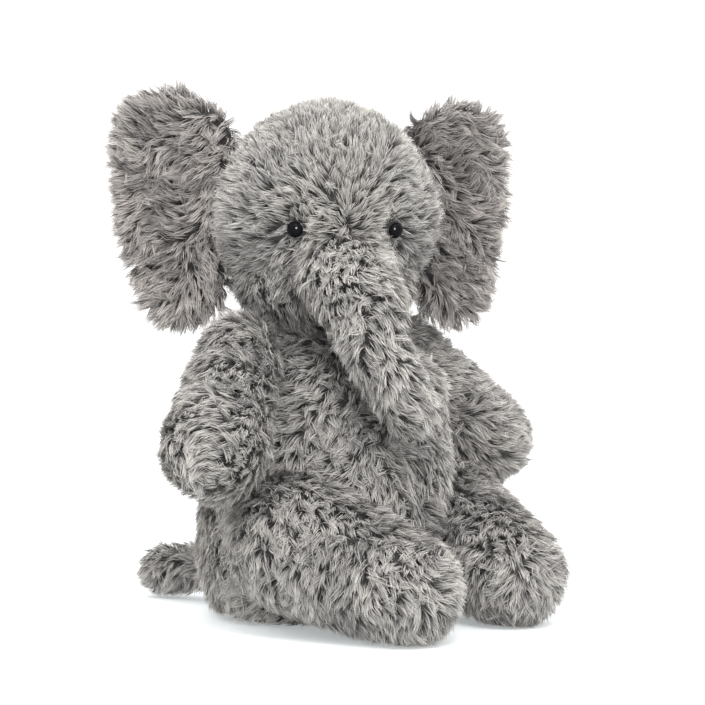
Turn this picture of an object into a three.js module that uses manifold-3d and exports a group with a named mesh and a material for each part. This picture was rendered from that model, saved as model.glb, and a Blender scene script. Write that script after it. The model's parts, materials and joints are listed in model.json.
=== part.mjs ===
// A seated plush elephant: stuffed body with a pellet seat, ball neck, head, three-part trunk, two flat
// ears, two arms, two legs and a tail. Millimetres, +Z up, facing -Y, origin at the middle of the seat.
import * as THREE from 'three';
import { mergeVertices } from 'three/addons/utils/BufferGeometryUtils.js';
import Module from 'manifold-3d';

const wasm = await Module();
wasm.setup();

// ---------- driving dimensions ----------
const SKIN = 3.5; // plush cloth with its dense under-pile
const GAP = 0.5; // air between a skin and its stuffing
const SEAM = 0.4; // between two panels sewn edge to edge
const PLAY = 0.5; // round a joint's ball
const BALL_COLUMNS = 12;
const BALL_ROWS = 8;

const TORSO_HEIGHT = 172;
// Radius and height up the torso.
const TORSO_PROFILE = [
  [48, 0], [60, 7], [68, 24], [70, 48], [68.5, 76], [65, 104], [57.5, 130], [47, 150], [32, 164],
  [14, 171.3],
];
const BELLY_FORWARD = 8; // the belly leans this far forward at mid height
const SEAT_PANEL_TOP = 9;
const SEAT_POUCH_TOP = 36;
const POUCH_CLOTH = 1.2;
const POUCH_MOUTH = { radius: 9, back: 20 }; // the filling hole's radius and its place behind the middle
const FRONT_SEAM_Y = 2; // the side seams' plane between the front and the back panel
const TORSO_SIDES = { outer: 18, inner: 12 };

const NECK = new THREE.Vector3(0, -6, 173);
const NECK_RADIUS = 20;
const HEAD_TURN = THREE.MathUtils.degToRad(-33.5); // the head looks to the elephant's right
const HEAD_RADII = new THREE.Vector3(56, 55, 58.5);
const HEAD_CENTRE = new THREE.Vector3(0, 0, 57.5); // from the neck
const HEAD_FACETS = { outer: [18, 12], inner: [12, 8] };

const EYE_RADIUS = 4.5;
const EYE_AZIMUTH = THREE.MathUtils.degToRad(30);
const EYE_DROP = THREE.MathUtils.degToRad(13.5);
const EYE_SINK = 2; // the eye's rim lies this far under the plush
const EYE_DOME = 0.85; // height of the dome as a share of its radius
const EYE_SIDES = 10;
const EYE_SHANK = { radius: 1.5, length: 12 };
const WASHER = { radius: 5.5, thickness: 1.5, depth: 8.3 }; // depth of its inner face under the plush

// The trunk's joints from its root to its tip, from the neck, and the ball radius at each.
const TRUNK_JOINTS = [
  new THREE.Vector3(0, -45, 21), new THREE.Vector3(7, -68, 0),
  new THREE.Vector3(13, -79, -24), new THREE.Vector3(28, -81, -51),
];
const TRUNK_RADII = [25, 21.5, 17.5, 15.5];
const SOCKET_MOUTH = 0.5; // radius of the opening through a trunk ball, as a share of the ball
const TRUNK_SOCKET_LIP = 0.36; // a socket ends this share of the ball's radius before its centre

const EAR_ROOT = new THREE.Vector3(57, 9, 59); // from the neck; the hinge line runs up through it
const EAR_SWEEP = THREE.MathUtils.degToRad(19); // the ear's edge lies behind its root
const EAR_OUTLINE = { top: 65, bottom: -64.5, width: 60.5, root: -6 };
const EAR_LAYER = 4.4;
const EAR_PADDING_INSET = 7;
const EAR_BEVEL = 1.5;
const EAR_FOLD = THREE.MathUtils.degToRad(35);

const SHOULDER = new THREE.Vector3(73, -4, 145.5);
const PAW = new THREE.Vector3(110, -31, 102);
const LEFT_PAW_SAG = 5; // the left paw hangs this much lower
const ARM_RADII = [22.5, 25.5];

const HIP = new THREE.Vector3(51, -70, 34.5);
const FOOT = new THREE.Vector3(44, -105, 27.5);
const LEG_RADII = [34, 27.5];
const SOLE_DEPTH = 13; // the sole panel's rim lies this far behind the toe

const TAIL_ROOT = new THREE.Vector3(-2, 71, 22);
const TAIL_TIP = new THREE.Vector3(-14, 113, 15.5);
const TAIL_RADII = [10.5, 12];
const TAIL_SKIN = 2.5;
const MOUTH_RADIUS = { leg: 12, tail: 5 }; // the opening in a limb's root, sewn to the torso

const COLOURS = {
  plush: 0x8f8b89, lining: 0xb9b6b2, fibre: 0xf1efe9, pellets: 0xd9d4c8, eye: 0x0b0b0c, washer: 0xe8e8e4,
};

// ---------- solids ----------
function solidFrom(geometry) {
  const bare = geometry.index ? geometry.clone() : geometry;
  bare.deleteAttribute('normal');
  bare.deleteAttribute('uv');
  const merged = mergeVertices(bare, 1e-3);
  const index = merged.index.array;
  const triangles = [];
  for (let i = 0; i < index.length; i += 3) {
    const [a, b, c] = [index[i], index[i + 1], index[i + 2]];
    if (a !== b && b !== c && c !== a) triangles.push(a, b, c); // none at a lathe's poles
  }
  const mesh = new wasm.Mesh({
    numProp: 3,
    vertProperties: new Float32Array(merged.attributes.position.array),
    triVerts: new Uint32Array(triangles),
  });
  return new wasm.Manifold(mesh);
}

function geometryFrom(solid) {
  const mesh = solid.getMesh();
  const geometry = new THREE.BufferGeometry();
  geometry.setAttribute('position', new THREE.BufferAttribute(new Float32Array(mesh.vertProperties), 3));
  geometry.setIndex(new THREE.BufferAttribute(new Uint32Array(mesh.triVerts), 1));
  geometry.computeVertexNormals();
  return geometry;
}

function ball(radius, centre) {
  const geometry = new THREE.SphereGeometry(radius, BALL_COLUMNS, BALL_ROWS);
  return solidFrom(geometry.translate(centre.x, centre.y, centre.z));
}

// The room that a ball turns in: its flat faces stay outside the round shape.
function socket(radius, centre) {
  const flat = Math.cos(Math.PI / BALL_COLUMNS) * Math.cos(Math.PI / (2 * BALL_ROWS));
  return ball((radius + PLAY) / flat, centre);
}

function cylinderAlong(start, direction, length, radius, sides = 8) {
  const geometry = new THREE.CylinderGeometry(radius, radius, length, sides).translate(0, length / 2, 0);
  return solidFrom(aimed(geometry, start, direction));
}

// A geometry made along +Y, turned along a direction and moved to its start.
function aimed(geometry, start, direction) {
  const turn = new THREE.Quaternion();
  turn.setFromUnitVectors(new THREE.Vector3(0, 1, 0), direction.clone().normalize());
  return geometry.applyQuaternion(turn).translate(start.x, start.y, start.z);
}

// A tapered limb with a round end at each of two centres; inset makes the same limb smaller all round.
function limb(start, end, radii, inset = 0) {
  const length = start.distanceTo(end);
  const [rootRadius, tipRadius] = radii.map((radius) => radius - inset);
  const profile = [];
  const steps = inset ? 2 : 3; // of each round end
  for (let i = 0; i <= steps; i += 1) {
    const angle = -Math.PI / 2 + (Math.PI / 2) * (i / steps);
    profile.push(new THREE.Vector2(rootRadius * Math.cos(angle), rootRadius * Math.sin(angle)));
  }
  for (let i = 0; i <= steps; i += 1) {
    const angle = (Math.PI / 2) * (i / steps);
    profile.push(new THREE.Vector2(tipRadius * Math.cos(angle), length + tipRadius * Math.sin(angle)));
  }
  profile[0].x = 0;
  profile[profile.length - 1].x = 0;
  const lathe = new THREE.LatheGeometry(profile, inset ? 8 : 12);
  return solidFrom(aimed(lathe, start, end.clone().sub(start)));
}

// Everything on the far side of a plane, as a large block.
function halfSpace(point, normal, size = 500) {
  const block = new THREE.BoxGeometry(size, size, size).translate(0, size / 2, 0);
  return solidFrom(aimed(block, point, normal));
}

// Cuts a piece clear of a neighbour that it turns past, at steps through the joint's range.
function clearOf(piece, neighbour, pivot, axis, range, steps = 4) {
  let cleared = piece;
  for (let i = 0; i <= steps; i += 1) {
    const angle = THREE.MathUtils.lerp(range[0], range[1], i / steps);
    const turned = geometryFrom(neighbour).translate(-pivot.x, -pivot.y, -pivot.z);
    turned.applyQuaternion(new THREE.Quaternion().setFromAxisAngle(axis, -angle));
    cleared = cleared.subtract(solidFrom(turned.translate(pivot.x, pivot.y, pivot.z)));
  }
  return cleared;
}

// The opening through a limb's round root, where its stuffing meets the next piece's.
function rootMouth(start, along, radius, mouth) {
  const behind = start.clone().addScaledVector(along, -radius - 2);
  return cylinderAlong(behind, along, radius, mouth);
}

// The two halves of a shell, sewn along a plane.
function splitShell(shell, point, normal) {
  const half = normal.clone().normalize().multiplyScalar(SEAM / 2);
  return [
    shell.intersect(halfSpace(point.clone().add(half), normal)),
    shell.intersect(halfSpace(point.clone().sub(half), normal.clone().negate())),
  ];
}

const mirrored = (vector, side) => new THREE.Vector3(vector.x * side, vector.y, vector.z);

function part(name, solid, colour, roughness = 0.95) {
  const material = new THREE.MeshStandardMaterial({ color: colour, roughness, metalness: 0 });
  const mesh = new THREE.Mesh(geometryFrom(solid), material);
  mesh.name = name;
  return mesh;
}

// ---------- torso ----------
function torsoSolid(inset = 0) {
  const scale = (TORSO_HEIGHT - 2 * inset) / TORSO_HEIGHT;
  const profile = TORSO_PROFILE.map(
    ([radius, height]) => new THREE.Vector2(radius - inset, inset + height * scale));
  profile.unshift(new THREE.Vector2(0, inset));
  profile.push(new THREE.Vector2(0, TORSO_HEIGHT - inset));
  const geometry = new THREE.LatheGeometry(profile, inset ? TORSO_SIDES.inner : TORSO_SIDES.outer);
  geometry.rotateX(Math.PI / 2);
  const position = geometry.attributes.position;
  for (let i = 0; i < position.count; i += 1) {
    const lean = BELLY_FORWARD * Math.sin((Math.PI * position.getZ(i)) / TORSO_HEIGHT);
    position.setY(i, position.getY(i) - lean);
  }
  return solidFrom(geometry);
}

function cutSockets(solid, extra = 0) {
  const sockets = [[NECK, NECK_RADIUS], [TAIL_ROOT, TAIL_RADII[0]]];
  for (const side of [-1, 1]) {
    sockets.push([mirrored(SHOULDER, side), ARM_RADII[0]], [mirrored(HIP, side), LEG_RADII[0]]);
  }
  return sockets.reduce((left, [centre, radius]) => left.subtract(socket(radius + extra, centre)), solid);
}

function buildTorso() {
  const up = new THREE.Vector3(0, 0, 1);
  const outer = torsoSolid();
  const shell = cutSockets(outer.subtract(torsoSolid(SKIN)));
  const [upper, seat] = splitShell(shell, new THREE.Vector3(0, 0, SEAT_PANEL_TOP), up);
  const [front, back] = splitShell(
    upper, new THREE.Vector3(0, FRONT_SEAM_Y, 0), new THREE.Vector3(0, -1, 0));
  const [filling, lowerFilling] = splitShell(
    cutSockets(torsoSolid(SKIN + GAP), SKIN + GAP), new THREE.Vector3(0, 0, SEAT_POUCH_TOP), up);
  const pouchRoom = lowerFilling.intersect(halfSpace(new THREE.Vector3(0, 0, SKIN + GAP), up));
  const insideSeat = (inset, top) => cutSockets(torsoSolid(inset), inset)
    .intersect(halfSpace(new THREE.Vector3(0, 0, top), up.clone().negate()));
  const hollow = SKIN + GAP + POUCH_CLOTH;
  const pouchHollow = insideSeat(hollow, SEAT_POUCH_TOP - POUCH_CLOTH);
  const pelletShape = insideSeat(hollow + GAP, SEAT_POUCH_TOP - POUCH_CLOTH - GAP);
  const pouchMouth = cylinderAlong(
    new THREE.Vector3(0, POUCH_MOUTH.back, SEAT_POUCH_TOP - 3), up, 6, POUCH_MOUTH.radius);
  return [
    part('torso_front_panel', front, COLOURS.plush),
    part('torso_back_panel', back, COLOURS.plush),
    part('seat_panel', seat, COLOURS.plush),
    part('torso_stuffing', filling, COLOURS.fibre),
    part('seat_pouch', pouchRoom.subtract(pouchHollow).subtract(pouchMouth), COLOURS.lining),
    part('seat_pellets', pelletShape, COLOURS.pellets),
  ];
}

// ---------- head, eyes and neck ----------
function headSolid(inset = 0) {
  const [columns, rows] = inset > 0 ? HEAD_FACETS.inner : HEAD_FACETS.outer;
  const geometry = new THREE.SphereGeometry(1, columns, rows).rotateX(Math.PI / 2);
  geometry.scale(HEAD_RADII.x - inset, HEAD_RADII.y - inset, HEAD_RADII.z - inset);
  return solidFrom(geometry.translate(HEAD_CENTRE.x, HEAD_CENTRE.y, HEAD_CENTRE.z));
}

function eyePlace(side) {
  const outward = new THREE.Vector3(
    side * Math.sin(EYE_AZIMUTH) * Math.cos(EYE_DROP),
    -Math.cos(EYE_AZIMUTH) * Math.cos(EYE_DROP), -Math.sin(EYE_DROP));
  const reach = 1 / outward.clone().divide(HEAD_RADII).length();
  return { outward, surface: HEAD_CENTRE.clone().addScaledVector(outward, reach) };
}

function eyeSolid({ outward, surface }) {
  const profile = [
    new THREE.Vector2(0, -EYE_SHANK.length), new THREE.Vector2(EYE_SHANK.radius, -EYE_SHANK.length),
    new THREE.Vector2(EYE_SHANK.radius, 0), new THREE.Vector2(EYE_RADIUS * 0.9, 0),
  ];
  const steps = 3;
  for (let i = 0; i <= steps; i += 1) {
    const angle = (Math.PI / 2) * (i / steps);
    const height = 0.6 + EYE_RADIUS * EYE_DOME * Math.sin(angle);
    profile.push(new THREE.Vector2(EYE_RADIUS * Math.cos(angle), height));
  }
  profile[profile.length - 1].x = 0;
  const start = surface.clone().addScaledVector(outward, -EYE_SINK);
  return solidFrom(aimed(new THREE.LatheGeometry(profile, EYE_SIDES), start, outward));
}

function washerSolid({ outward, surface }) {
  const start = surface.clone().addScaledVector(outward, -WASHER.depth);
  const disc = cylinderAlong(start, outward, WASHER.thickness, WASHER.radius, EYE_SIDES);
  const under = start.clone().addScaledVector(outward, -2);
  const hole = cylinderAlong(under, outward, 8, EYE_SHANK.radius + 0.4);
  return disc.subtract(hole);
}

function cutForEye(solid, { outward, surface }) {
  const under = surface.clone().addScaledVector(outward, -EYE_SINK - GAP);
  const seat = cylinderAlong(under, outward, 8, EYE_RADIUS + 0.8, EYE_SIDES);
  const shankHole = cylinderAlong(
    surface.clone().addScaledVector(outward, -EYE_SHANK.length - 4), outward, 14, EYE_SHANK.radius + 0.6);
  return solid.subtract(seat).subtract(shankHole);
}

function buildHead() {
  const eyes = [-1, 1].map(eyePlace);
  const neckRoom = socket(NECK_RADIUS, new THREE.Vector3());
  const trunkRoom = socket(TRUNK_RADII[0], TRUNK_JOINTS[0]);
  let shell = headSolid().subtract(headSolid(SKIN)).subtract(neckRoom).subtract(trunkRoom);
  let filling = headSolid(SKIN + GAP).subtract(neckRoom);
  filling = filling.subtract(trunkRoom);
  const pieces = [];
  eyes.forEach((place, i) => {
    const side = ['right', 'left'][i];
    shell = cutForEye(shell, place);
    const pocket = place.surface.clone().addScaledVector(place.outward, -EYE_SHANK.length - 3);
    filling = filling.subtract(cylinderAlong(pocket, place.outward, 14, WASHER.radius + 1, EYE_SIDES));
    pieces.push(part(`eye_${side}`, eyeSolid(place), COLOURS.eye, 0.08));
    pieces.push(part(`eye_washer_${side}`, washerSolid(place), COLOURS.washer, 0.5));
  });
  const [right, left] = splitShell(shell, HEAD_CENTRE, new THREE.Vector3(-1, 0, 0));
  pieces.push(part('head_right_panel', right, COLOURS.plush));
  pieces.push(part('head_left_panel', left, COLOURS.plush));
  pieces.push(part('head_stuffing', filling, COLOURS.fibre));
  return pieces;
}

// ---------- trunk ----------
function trunkSegment(i) {
  const [start, end] = [TRUNK_JOINTS[i], TRUNK_JOINTS[i + 1]];
  const radii = [TRUNK_RADII[i], TRUNK_RADII[i + 1]];
  const along = end.clone().sub(start).normalize();
  const last = i === TRUNK_JOINTS.length - 2;
  const shape = (inset) => {
    let solid = limb(start, end, radii, inset);
    if (!last) {
      const next = TRUNK_JOINTS[i + 2].clone().sub(end).normalize();
      const lip = end.clone().addScaledVector(next, -TRUNK_SOCKET_LIP * radii[1]);
      solid = solid.subtract(halfSpace(lip, next)).subtract(socket(radii[1], end));
    }
    return solid;
  };
  const mouth = rootMouth(start, along, radii[0], radii[0] * SOCKET_MOUTH);
  return {
    skin: shape(0).subtract(limb(start, end, radii, SKIN)).subtract(mouth),
    filling: shape(SKIN + GAP),
  };
}

function buildTrunk() {
  return ['upper', 'middle', 'tip'].flatMap((place, i) => {
    const { skin, filling } = trunkSegment(i);
    return [
      part(`trunk_${place}_skin`, skin, COLOURS.plush),
      part(`trunk_${place}_stuffing`, filling, COLOURS.fibre),
    ];
  });
}

// ---------- ears ----------
// The outline of one ear, seen from the front with its root on the line x = 0: broad above, narrow below.
function earOutline(inset) {
  const shape = new THREE.Shape();
  const top = EAR_OUTLINE.top - inset;
  const bottom = EAR_OUTLINE.bottom + inset;
  const width = EAR_OUTLINE.width - inset;
  const root = EAR_OUTLINE.root + inset;
  shape.moveTo(root, -24);
  shape.bezierCurveTo(root + 4, -44, 8, bottom, 22, bottom);
  shape.bezierCurveTo(42, bottom, width, -20, width, 16);
  shape.bezierCurveTo(width, 46, 52, top, 32, top);
  shape.bezierCurveTo(12, top, root, 48, root, 26);
  shape.closePath();
  return shape;
}

function earLayer(depth, offset, inset, bevel) {
  const options = {
    depth: depth - 2 * bevel, curveSegments: 4, steps: 1,
    bevelEnabled: bevel > 0, bevelThickness: bevel, bevelSize: bevel, bevelOffset: -bevel, bevelSegments: 1,
  };
  const slab = new THREE.ExtrudeGeometry(earOutline(inset), options).translate(0, 0, offset + bevel);
  return slab.rotateX(Math.PI / 2); // the outline stands up, its front towards -Y
}

function buildEar(side) {
  const clearance = headSolid(-1);
  const pivot = mirrored(EAR_ROOT, side);
  const up = new THREE.Vector3(0, 0, 1);
  const cover = 1.7 * EAR_LAYER - SEAM; // a panel with its under-pile
  const layers = [
    ['front_panel', cover, EAR_LAYER / 2 + SEAM, 0, EAR_BEVEL, COLOURS.plush],
    ['padding', EAR_LAYER, -EAR_LAYER / 2, EAR_PADDING_INSET, 0, COLOURS.fibre],
    ['back_panel', cover, -EAR_LAYER / 2 - SEAM - cover, 0, EAR_BEVEL, COLOURS.plush],
  ];
  return layers.map(([name, depth, offset, inset, bevel, colour]) => {
    const slab = earLayer(depth, offset, inset, bevel).rotateZ(EAR_SWEEP);
    slab.translate(EAR_ROOT.x, EAR_ROOT.y, EAR_ROOT.z);
    let solid = solidFrom(slab);
    if (side < 0) solid = solid.mirror([1, 0, 0]);
    const cleared = clearOf(solid, clearance, pivot, up, [-EAR_FOLD, EAR_FOLD]);
    return part(`ear_${side < 0 ? 'right' : 'left'}_${name}`, cleared, colour);
  });
}

// ---------- arms, legs and tail ----------
function buildArm(side) {
  const [shoulder, paw] = [mirrored(SHOULDER, side), mirrored(PAW, side)];
  if (side > 0) paw.z -= LEFT_PAW_SAG;
  const shell = limb(shoulder, paw, ARM_RADII).subtract(limb(shoulder, paw, ARM_RADII, SKIN));
  const along = paw.clone().sub(shoulder);
  const outward = new THREE.Vector3().crossVectors(along, new THREE.Vector3(0, 1, 0)).multiplyScalar(side);
  const [outer, inner] = splitShell(shell, shoulder, outward);
  const name = `arm_${side < 0 ? 'right' : 'left'}`;
  return [
    part(`${name}_outer_panel`, outer, COLOURS.plush),
    part(`${name}_inner_panel`, inner, COLOURS.plush),
    part(`${name}_stuffing`, limb(shoulder, paw, ARM_RADII, SKIN + GAP), COLOURS.fibre),
  ];
}

function buildLeg(side) {
  const [hip, foot] = [mirrored(HIP, side), mirrored(FOOT, side)];
  const along = foot.clone().sub(hip).normalize();
  const mouth = rootMouth(hip, along, LEG_RADII[0], MOUTH_RADIUS.leg);
  const shell = limb(hip, foot, LEG_RADII).subtract(limb(hip, foot, LEG_RADII, SKIN)).subtract(mouth);
  const soleRim = foot.clone().addScaledVector(along, LEG_RADII[1] - SOLE_DEPTH);
  const [sole, skin] = splitShell(shell, soleRim, along);
  const name = `leg_${side < 0 ? 'right' : 'left'}`;
  return [
    part(`${name}_skin`, skin, COLOURS.plush),
    part(`${name}_sole_panel`, sole, COLOURS.plush),
    part(`${name}_stuffing`, limb(hip, foot, LEG_RADII, SKIN + GAP), COLOURS.fibre),
  ];
}

function buildTail() {
  const along = TAIL_TIP.clone().sub(TAIL_ROOT).normalize();
  const mouth = rootMouth(TAIL_ROOT, along, TAIL_RADII[0], MOUTH_RADIUS.tail);
  const hollow = limb(TAIL_ROOT, TAIL_TIP, TAIL_RADII, TAIL_SKIN);
  const skin = limb(TAIL_ROOT, TAIL_TIP, TAIL_RADII).subtract(hollow);
  return [
    part('tail_skin', skin.subtract(mouth), COLOURS.plush),
    part('tail_stuffing', limb(TAIL_ROOT, TAIL_TIP, TAIL_RADII, TAIL_SKIN + GAP), COLOURS.fibre),
  ];
}

// ---------- assembly ----------
const elephant = new THREE.Group();
const head = new THREE.Group();
head.position.copy(NECK);
head.rotation.z = HEAD_TURN;
head.add(part('neck_stuffing', ball(NECK_RADIUS, new THREE.Vector3()), COLOURS.fibre));
head.add(...buildHead(), ...buildTrunk(), ...buildEar(-1), ...buildEar(1));

elephant.add(...buildTorso(), head);
for (const side of [-1, 1]) {
  elephant.add(...buildArm(side), ...buildLeg(side));
}
elephant.add(...buildTail());

export default elephant;
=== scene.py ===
"""A seated plush elephant in long grey pile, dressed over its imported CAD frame. Metres, +Z up, facing -Y."""

import json
import math

import bmesh
import bpy
import numpy as np
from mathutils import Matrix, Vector
from mathutils.bvhtree import BVHTree


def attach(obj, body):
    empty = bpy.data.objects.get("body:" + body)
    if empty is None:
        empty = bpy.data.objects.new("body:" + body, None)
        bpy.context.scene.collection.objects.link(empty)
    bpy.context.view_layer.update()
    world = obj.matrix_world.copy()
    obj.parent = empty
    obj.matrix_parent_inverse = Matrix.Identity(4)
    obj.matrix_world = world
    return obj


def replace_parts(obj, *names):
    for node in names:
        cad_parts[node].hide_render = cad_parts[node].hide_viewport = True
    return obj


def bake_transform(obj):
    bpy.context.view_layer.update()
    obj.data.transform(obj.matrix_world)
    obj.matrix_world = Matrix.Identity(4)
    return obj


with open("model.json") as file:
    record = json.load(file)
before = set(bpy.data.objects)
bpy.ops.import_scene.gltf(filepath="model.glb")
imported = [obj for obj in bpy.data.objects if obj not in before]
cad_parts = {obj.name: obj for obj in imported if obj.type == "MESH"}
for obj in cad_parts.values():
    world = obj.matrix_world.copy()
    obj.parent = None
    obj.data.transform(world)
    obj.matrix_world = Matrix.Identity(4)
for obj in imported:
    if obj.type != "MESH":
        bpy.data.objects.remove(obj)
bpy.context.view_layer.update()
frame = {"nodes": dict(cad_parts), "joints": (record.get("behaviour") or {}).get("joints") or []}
JOINTS = {j["name"]: np.array(j["pos_m"]) for j in frame["joints"]}

# ---------- sizes ----------
HEAD_TURN = math.radians(-33.5)
HEAD_RADII = np.array([0.056, 0.055, 0.0585])
HEAD_HEIGHT = 0.0575  # of its centre over the neck
CHEEK = 0.06  # how much wider the head is at the cheeks
EYE_AZIMUTH = math.radians(30)
EYE_DROP = math.radians(13.5)
EYE_RADIUS = 0.0045
EYE_PROUD = 0.0022  # of the dome's base over the head's CAD surface

TORSO_HEIGHT = 0.172
TORSO_PROFILE = [  # radius, height
    (0.048, 0), (0.060, 0.007), (0.068, 0.024), (0.070, 0.048), (0.0685, 0.076), (0.065, 0.104),
    (0.0575, 0.130), (0.047, 0.150), (0.032, 0.164), (0.014, 0.1713),
]
BELLY_FORWARD = 0.008
FOLD_CENTRE = np.array([0.043, -0.043, 0.135])  # the chest puckers in front of the left armpit
FOLD_SIZE = 0.017
FOLD_PAINTED_LIGHT = np.array([0.010, -0.004, 0])  # its spot of painted light, from its centre
FOLD_RISE = 0.012
TIP_SHADOW = np.array([0.010, -0.069, 0.102])  # the trunk's tip casts its painted shadow on the chest's pile around here
SIDE_SEAM_Y = 0.002
SEAT_SEAM_Z = 0.009

JAW_PROFILE = [  # radius, height
    (0.001, 0.164), (0.029, 0.167), (0.038, 0.174), (0.0435, 0.182), (0.0455, 0.191), (0.044, 0.201),
    (0.034, 0.209), (0.001, 0.211),
]
JAW_MIDDLE = 0.196

TRUNK_TIP = np.array([0.028, -0.081, -0.051])  # from the neck, in the head's own axes
TRUNK_RADII = [0.025, 0.0215, 0.0175, 0.0155]
TRUNK_BEND = 0.008  # the reach that bend is given for the trunk's skins, to either side of their joints
EAR_SWEEP = math.radians(19)
EAR_TOP, EAR_BOTTOM, EAR_WIDTH = 0.0650, -0.0645, 0.0605
EAR_THICK = 0.0045  # half the padded ear's thickness at its middle
EAR_SHRINK = {"right": 0.95, "left": 0.93}  # the cut ear against its outline, which its pile fills
EAR_DISH = 0.0045  # the ear's middle lies this far behind its rim
EAR_HANG = {"right": 0.0005, "left": 0.002}  # the left ear hangs lower
PAW = np.array([0.110, -0.031, 0.102])
PAW_SAG = {"right": 0.0, "left": 0.005}  # the left paw hangs lower
ARM_RADII = (0.0204, 0.0262)
ARM_START = {"in": 0.008, "up": 0.004}  # where the arm's skin starts, from its joint
FOOT = np.array([0.044, -0.105, 0.0275])
LEG_RADII = (0.036, 0.0278)
ANKLE, ANKLE_SIZE = 0.66, 0.15  # the ankle's place and width, as shares of the leg
ANKLE_DEPTH = 0.011
THIGH = np.array([0.009, 0.028, 0.016])  # the thigh's middle from its joint: out, back and up
THIGH_BEND = 0.012  # the reach that bend is given for the leg's skin, to either side of its joint
SOLE_DEPTH = 0.013
SOLE_WHORL = np.array([-0.60, -0.64, 0.48])  # the way from a foot's middle to the whorl of its pile
TAIL_TIP = np.array([-0.0145, 0.115, 0.0165])
TAIL_RADII = (0.0110, 0.0128)

SKIN_INSET = 0.0025  # the cut panels lie this far inside the CAD surface, and swell from there
TRUNK_INSET = 0.0042
SWELL = 0.0016  # how far the filling pushes a panel out between its seams
SEAM_WIDTH = 0.004

PILE_LENGTH = 0.0108
CLUMP_GAP = 0.0027  # between two locks of pile
CELLS_CUT = 1.5  # cells of a cubic grid that a surface cuts, for each cell's face of its area
STRANDS = 13  # in a lock
STRAND_WIDTH = 0.00055
UNRULY = 0.22  # the share of the locks that lie crosswise
PRESSED = 0.3  # how much shorter the pile lies where a neighbour touches it
PAINTED_CREVICE_SHADE = 0.6  # and how much darker it is painted there: painted shade where the neighbour's shade falls
PAINTED_LIGHT_AND_SHADE = {  # how much paler the pile is painted at a place, on the colour chart from 0 to 1: painted light above 0, painted shade below
    "trunk root": 0.22, "fold": 0.7, "under chin": -0.35, "low": 0.12, "below trunk": -0.5, "lap": -0.45,
    "paw": 0.18, "bridge": 0.48, "cheeks": -0.28, "jaw": -0.12, "jaw's bottom": -0.35,
    "ear's rim": 0.25, "ear's hollow": -0.25, "behind cheek": -0.3, "ankle": -0.35, "inner thigh": -0.4,
}
SIDE_SEED = {"right": 0, "left": 50}  # what is added to the seeds of a side's ear, arm and leg
PELLET_SEED = 503
STRAND_STEPS = (0.0, 0.5, 1.0)
STRAND_TAPER = (1.0, 0.85)
ROOT_CHART = 0.08  # where a strand starts on the colour chart; the backing cloth lies at 0, its near-black painted shade under the pile
PELLET_RADIUS = 0.0018
PELLET_PITCH = 0.0042
FIBRE_LUMPS = 0.0004
FLOOR_CLEAR = 0.0004

SKY_HIGH = 2.45  # the light from straight above
SKY_LOW = 0.51  # the share of it that comes from the horizon
CAMERA_AT = (-0.8640, -0.8324, 0.1804)
CAMERA_TARGET = (0.0133, -0.0143, 0.149)
CAMERA_LENS = 107.7
SENSOR_WIDTH = 36
KEY_LIGHT = {"place": (-0.62, -0.80, 1.40), "size": 0.6, "power": 16}
CATCH_LIGHT = {"place": (-0.72, -0.90, 0.45), "size": 0.40, "power": 130}  # on the eyes only
LIT_POINT = (0, 0, 0.13)
FLOOR_REACH = 8


# ---------- small vector helpers ----------
UP = np.array([0, 0, 1.0])


def unit(v):
    return v / np.maximum(np.linalg.norm(v, axis=-1, keepdims=True), 1e-12)


def dot(a, b):
    return (a * b).sum(-1, keepdims=True)


def on_surface(direction, normal):
    """The part of a direction that lies along the surface, as a unit vector."""
    return unit(direction - dot(direction, normal) * normal)


def along_share(direction, normal):
    """How much of a direction lies along the surface: 1 if all of it, 0 where it stands upright."""
    return np.linalg.norm(unit(direction) - dot(unit(direction), normal) * normal, axis=1, keepdims=True)


def far_from(points, place):
    return np.linalg.norm(points - place, axis=1, keepdims=True)


def turned(direction, normal, angle):
    """Directions along a surface, turned about its normal."""
    return direction * np.cos(angle) + np.cross(normal, direction) * np.sin(angle)


def smooth_step(value, low, high):
    t = np.clip((value - low) / (high - low), 0, 1)
    return t * t * (3 - 2 * t)


def waves(points, size, seed, octaves=5):
    """A smooth wandering value from about -1 to 1 over space, with features of the given size."""
    rng = np.random.default_rng(seed)
    total = np.zeros(len(points))
    for _ in range(octaves):
        way = unit(rng.normal(size=3)) * 2 * math.pi / (size * rng.uniform(0.7, 1.5))
        total += np.sin(points @ way + rng.uniform(0, 2 * math.pi))
    return total[:, None] / math.sqrt(octaves)


# ---------- places in the head's own axes ----------
NECK = JOINTS["neck_turn"]
TRUNK_JOINTS = [JOINTS[n] for n in ("trunk_lift", "trunk_middle_curl", "trunk_tip_curl")]
HEAD_X = np.array([math.cos(HEAD_TURN), math.sin(HEAD_TURN), 0])
HEAD_Y = np.array([-math.sin(HEAD_TURN), math.cos(HEAD_TURN), 0])
HEAD_AXES = np.array([HEAD_X, HEAD_Y, [0, 0, 1]])
HEAD_CENTRE = NECK + np.array([0, 0, HEAD_HEIGHT])


def from_head(points):
    """The places of points that are given from the neck, in the head's axes."""
    return np.asarray(points) @ HEAD_AXES + NECK


def mirrored(point, side):
    return np.asarray(point) * np.array([side, 1, 1])


def eye_place(side):
    """The middle of an eye on the plush, and the way it looks."""
    outward = np.array([
        side * math.sin(EYE_AZIMUTH) * math.cos(EYE_DROP),
        -math.cos(EYE_AZIMUTH) * math.cos(EYE_DROP),
        -math.sin(EYE_DROP),
    ])
    reach = 1 / np.linalg.norm(outward / HEAD_RADII)
    return HEAD_CENTRE + (outward * reach) @ HEAD_AXES, outward @ HEAD_AXES


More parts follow.
